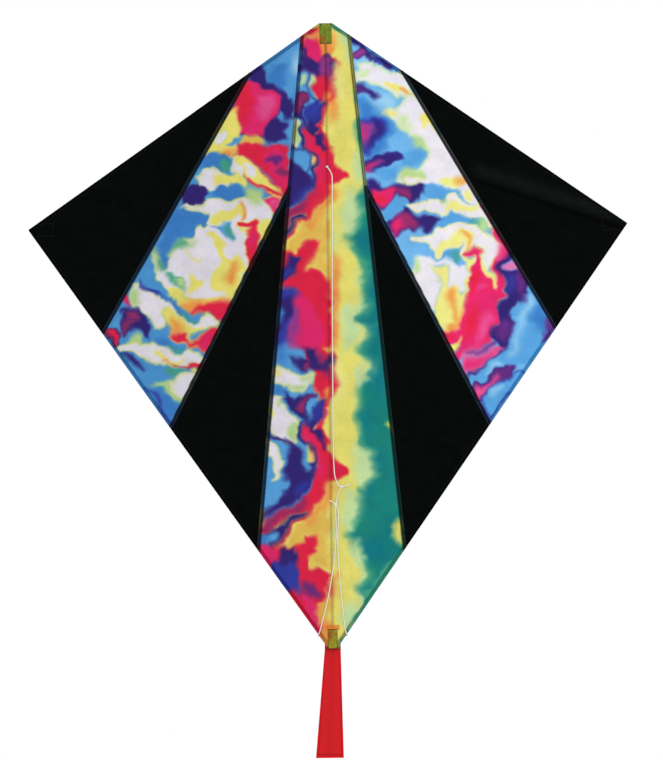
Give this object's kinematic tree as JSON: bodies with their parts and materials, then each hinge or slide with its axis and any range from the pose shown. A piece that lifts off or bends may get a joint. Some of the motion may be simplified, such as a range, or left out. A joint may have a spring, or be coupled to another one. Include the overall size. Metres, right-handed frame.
{
  "type": "diamond kite",
  "caption": "Flat diamond kite: sewn tie-dye and black cloth sail on a spine and a folding two-piece cross spar, with a knotted bridle on its face and a ribbon tail.",
  "frame": {"origin": "middle of the centre fitting, on the axis of the spine and at the height of the cross spar", "axes": "+Z along the spine towards the nose, +Y out of the kite's back (the printed face looks along -Y), +X to the right as seen from the face"},
  "size_m": [0.73, 0.0112, 0.8961],
  "materials": {
    "sail_print": "thin tie-dye printed polyester, slight sheen",
    "sail_black": "thin black polyester, slight sheen",
    "pocket_cloth": "black woven polyester, matte",
    "tail_cloth": "thin red polyester ribbon, slight sheen",
    "bridle_line": "braided off-white line, matte",
    "fibreglass": "black pultruded glass fibre, satin",
    "vinyl": "soft black vinyl, satin"
  },
  "bodies": {
    "root": {"centre_panel_middle": "sail_print", "nose_pocket": "pocket_cloth", "bottom_pocket": "pocket_cloth", "spine_rod": "fibreglass", "spine_cap_nose": "vinyl", "spine_cap_bottom": "vinyl", "centre_fitting": "vinyl", "bridle_top_tie": "bridle_line", "bridle_upper_line": "bridle_line", "bridle_upper_knot": "bridle_line", "bridle_link_line": "bridle_line", "bridle_lower_knot": "bridle_line", "bridle_leg_left": "bridle_line", "bridle_leg_right": "bridle_line", "bridle_bottom_tie": "bridle_line", "tail_tab": "tail_cloth"},
    "left_wing": {"centre_panel_left": "sail_print", "print_panel_left": "sail_print", "black_tip_left": "sail_black", "black_gore_left": "sail_black", "tip_pocket_left": "pocket_cloth", "spar_left": "fibreglass", "spar_cap_left": "vinyl", "fitting_arm_left": "vinyl"},
    "right_wing": {"centre_panel_right": "sail_print", "print_panel_right": "sail_print", "black_tip_right": "sail_black", "black_gore_right": "sail_black", "tip_pocket_right": "pocket_cloth", "spar_right": "fibreglass", "spar_cap_right": "vinyl", "fitting_arm_right": "vinyl"},
    "tail": {"tail_ribbon": "tail_cloth"}
  },
  "joints": [
    {"name": "left_wing_fold", "type": "hinge", "parent": "root", "child": "left_wing", "pos_m": [-0.018, 0, 0], "axis": [0, 0, -1], "range_deg": [0, 70], "stiffness_Nm_per_rad": 0.05},
    {"name": "right_wing_fold", "type": "hinge", "parent": "root", "child": "right_wing", "pos_m": [0.018, 0, 0], "axis": [0, 0, 1], "range_deg": [0, 70], "stiffness_Nm_per_rad": 0.05},
    {"name": "tail_swing", "type": "hinge", "parent": "root", "child": "tail", "pos_m": [0, 0.0027, -0.5151], "axis": [1, 0, 0], "range_deg": [-80, 80]}
  ]
}
